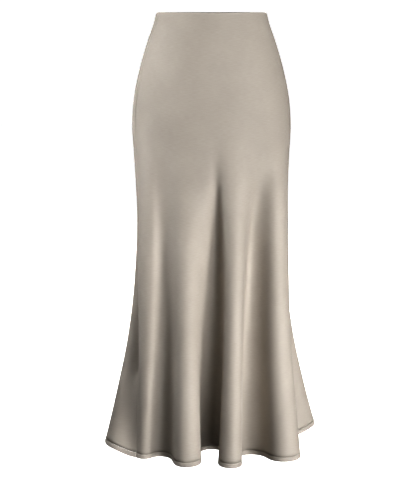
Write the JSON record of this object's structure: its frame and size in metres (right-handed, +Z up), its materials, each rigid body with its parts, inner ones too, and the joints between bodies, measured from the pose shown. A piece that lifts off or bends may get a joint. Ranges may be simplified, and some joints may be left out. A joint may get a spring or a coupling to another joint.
{
  "type": "mermaid fishtail skirt",
  "caption": "Long fitted satin skirt that narrows at the knee and flares into deep fluted folds at the hem, worn and hollow.",
  "frame": {"origin": "centre of the waist opening, level with the waist edge, where the wearer holds the skirt up", "axes": "+Z up, front of the skirt towards -Y, +X to the right as seen from the front"},
  "size_m": [0.4757, 0.4155, 0.95],
  "materials": {
    "satin_face": "polyester satin, champagne beige, soft sheen",
    "satin_wrong_side": "the satin's wrong side, champagne beige, dull"
  },
  "bodies": {
    "root": {"front_panel": "satin_face", "back_panel": "satin_face", "front_hem": "satin_face", "back_hem": "satin_face", "waist_casing": "satin_wrong_side"}
  },
  "joints": []
}
